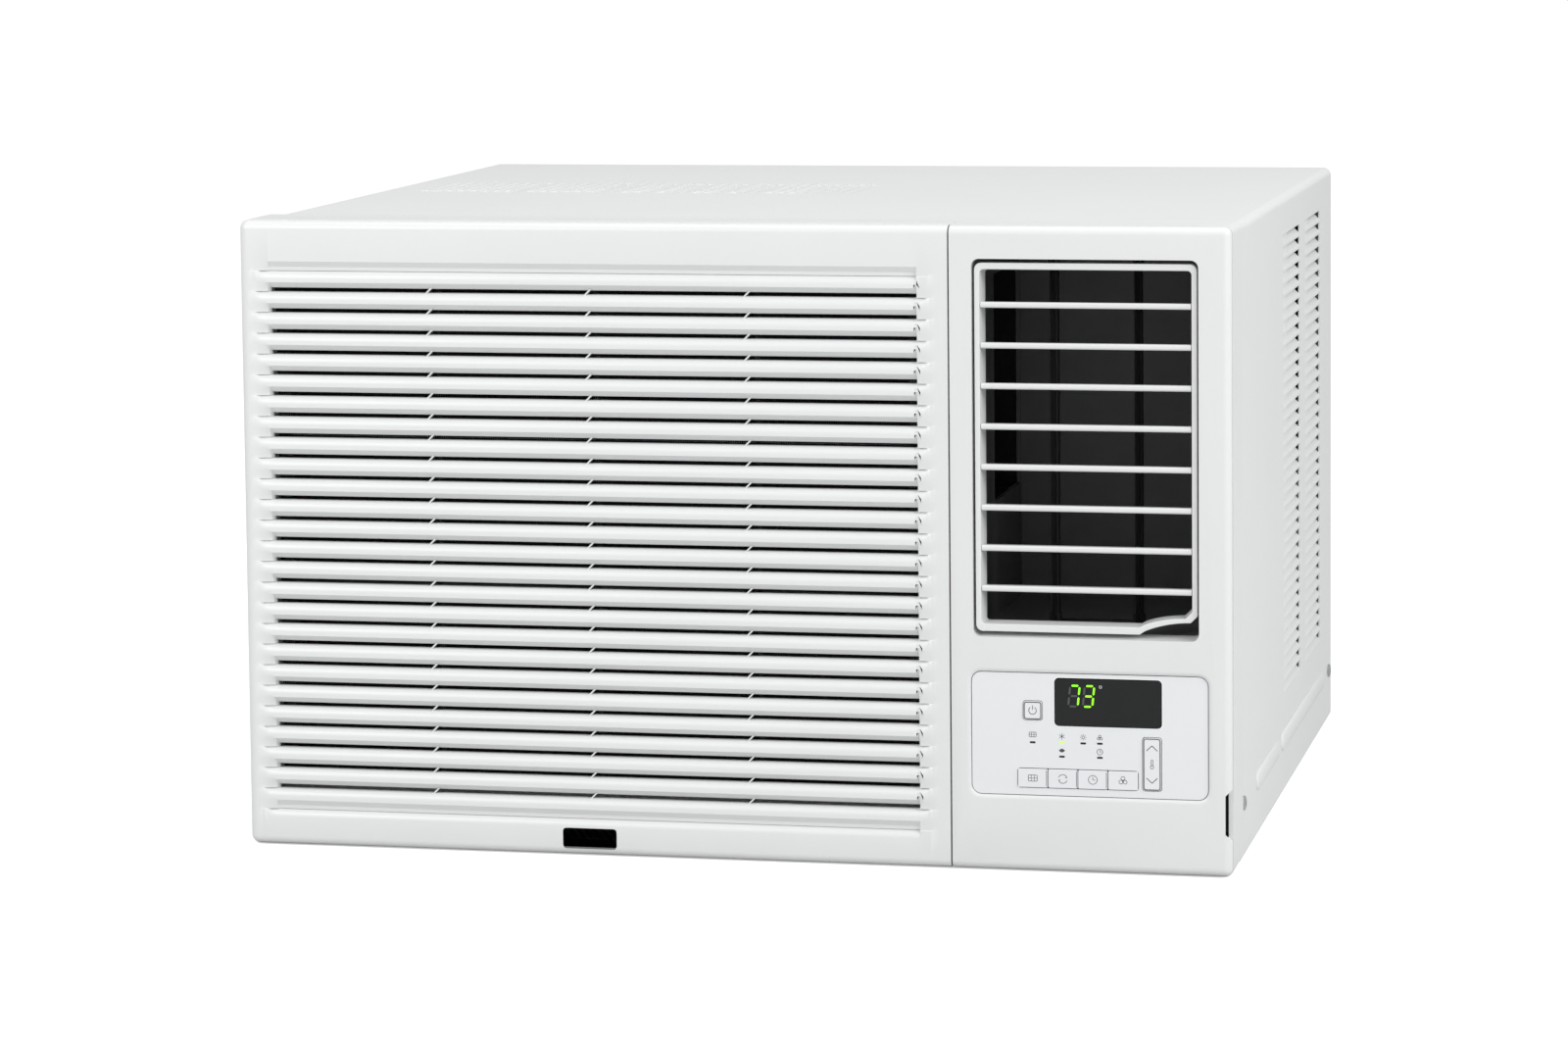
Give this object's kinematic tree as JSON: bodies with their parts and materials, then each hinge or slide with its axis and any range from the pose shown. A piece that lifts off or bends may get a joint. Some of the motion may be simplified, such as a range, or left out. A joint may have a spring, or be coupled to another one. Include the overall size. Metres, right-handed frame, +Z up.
{
  "type": "window air conditioner",
  "caption": "Window air conditioner with a slatted intake grille at left, a louvred discharge opening and control panel at right, and a vented white steel case.",
  "frame": {"origin": "centre of the unit's footprint, on the surface it rests on", "axes": "+Z up; the front faces -Y, so +Y points outdoors; +X is to the right as seen from the room"},
  "size_m": [0.6, 0.56, 0.38],
  "materials": {
    "white_abs": "moulded ABS, semi-gloss",
    "filter_frame_abs": "moulded polypropylene",
    "panel_abs": "moulded ABS with a clear overlay",
    "key_abs": "satin moulded caps",
    "white_steel": "powder-coated sheet steel",
    "galvanised_steel": "zinc spangle",
    "black_plastic": "moulded black plastic",
    "dark_duct": "flocked dark liner",
    "filter_mesh": "woven polymer net",
    "fin_aluminium": "bare fin stock",
    "copper": "drawn copper tube",
    "compressor_enamel": "black enamel",
    "rubber": "moulded rubber",
    "display_lens": "smoked acrylic",
    "board_green": "solder-masked laminate",
    "badge_grey": "moulded plate",
    "foam": "expanded polystyrene",
    "screw_steel": "zinc-plated steel",
    "mica": "mica board and ribbon"
  },
  "bodies": {
    "chassis": {"outer_case": "white_steel", "front_bezel": "white_abs", "discharge_duct": "dark_duct", "control_panel": "panel_abs", "display_window": "display_lens", "control_board": "board_green", "power_board": "board_green", "control_box": "galvanised_steel", "run_capacitor": "galvanised_steel", "case_screw_front_left": "screw_steel", "case_screw_front_right": "screw_steel", "case_screw_rear_left": "screw_steel", "case_screw_rear_right": "screw_steel", "base_pan": "galvanised_steel", "drain_plug": "rubber", "bulkhead": "galvanised_steel", "cord_gland": "rubber", "blower_scroll": "foam", "fan_motor": "galvanised_steel", "motor_bracket": "galvanised_steel", "fan_shroud": "foam", "evaporator_coil": "fin_aluminium", "evaporator_tray": "foam", "condenser_coil": "fin_aluminium", "compressor": "compressor_enamel", "compressor_grommet_1": "rubber", "compressor_grommet_2": "rubber", "compressor_grommet_3": "rubber", "compressor_bolt_1": "screw_steel", "compressor_bolt_2": "screw_steel", "compressor_bolt_3": "screw_steel", "accumulator": "compressor_enamel", "discharge_pipe": "copper", "suction_pipe": "copper", "accumulator_pipe": "copper", "capillary_tube": "copper", "heater_element": "mica", "room_sensor": "black_plastic"},
    "inlet_grille": {"inlet_grille": "white_abs", "badge": "badge_grey"},
    "air_filter": {"filter_frame": "filter_frame_abs", "filter_net": "filter_mesh"},
    "outlet_louvre": {"outlet_louvre_frame": "white_abs"},
    "vane_left": {"vane_left": "black_plastic"},
    "vane_right": {"vane_right": "black_plastic"},
    "vane_link": {"vane_link_bar": "black_plastic"},
    "power_button": {"power_button": "key_abs"},
    "filter_reset_key": {"filter_reset_key": "key_abs"},
    "mode_key": {"mode_key": "key_abs"},
    "timer_key": {"timer_key": "key_abs"},
    "fan_speed_key": {"fan_speed_key": "key_abs"},
    "temperature_rocker": {"temperature_rocker": "key_abs"},
    "rotor": {"motor_shaft": "screw_steel", "blower_wheel": "black_plastic", "condenser_fan": "black_plastic"}
  },
  "joints": [
    {"name": "grille_hinge", "type": "hinge", "parent": "chassis", "child": "inlet_grille", "pos_m": [0, -0.257, 0.378], "axis": [-1, 0, 0], "range_deg": [0, 65]},
    {"name": "filter_slide", "type": "slide", "parent": "chassis", "child": "air_filter", "axis": [-1, 0, 0], "range_m": [0, 0.405]},
    {"name": "louvre_tilt", "type": "hinge", "parent": "chassis", "child": "outlet_louvre", "pos_m": [0.21425, -0.272, 0.24975], "axis": [1, 0, 0], "range_deg": [-8, 8]},
    {"name": "vane_left_swing", "type": "hinge", "parent": "chassis", "child": "vane_left", "pos_m": [0.189, -0.232, 0.25], "axis": [0, 0, 1], "range_deg": [-35, 35]},
    {"name": "vane_right_swing", "type": "hinge", "parent": "chassis", "child": "vane_right", "pos_m": [0.239, -0.232, 0.25], "axis": [0, 0, 1], "range_deg": [-35, 35]},
    {"name": "vane_link_pin", "type": "hinge", "parent": "vane_left", "child": "vane_link", "pos_m": [0.189, -0.221, 0.1395], "axis": [0, 0, 1], "range_deg": [-35, 35]},
    {"name": "power_button_press", "type": "slide", "parent": "chassis", "child": "power_button", "axis": [0, 1, 0], "range_m": [0, 0.0006], "stiffness_N_per_m": 2000},
    {"name": "filter_reset_key_press", "type": "slide", "parent": "chassis", "child": "filter_reset_key", "axis": [0, 1, 0], "range_m": [0, 0.0006], "stiffness_N_per_m": 2000},
    {"name": "mode_key_press", "type": "slide", "parent": "chassis", "child": "mode_key", "axis": [0, 1, 0], "range_m": [0, 0.0006], "stiffness_N_per_m": 2000},
    {"name": "timer_key_press", "type": "slide", "parent": "chassis", "child": "timer_key", "axis": [0, 1, 0], "range_m": [0, 0.0006], "stiffness_N_per_m": 2000},
    {"name": "fan_speed_key_press", "type": "slide", "parent": "chassis", "child": "fan_speed_key", "axis": [0, 1, 0], "range_m": [0, 0.0006], "stiffness_N_per_m": 2000},
    {"name": "temperature_rock", "type": "hinge", "parent": "chassis", "child": "temperature_rocker", "pos_m": [0.2528, -0.276, 0.0656], "axis": [1, 0, 0], "range_deg": [-2.5, 2.5], "stiffness_Nm_per_rad": 0.4},
    {"name": "rotor_spin", "type": "hinge", "parent": "chassis", "child": "rotor", "pos_m": [-0.085, 0.01, 0.195], "axis": [0, 1, 0], "continuous": true}
  ],
  "couplings": [
    {"joint": "vane_right_swing", "follows": "vane_left_swing", "ratio": 1},
    {"joint": "vane_link_pin", "follows": "vane_left_swing", "ratio": -1}
  ]
}
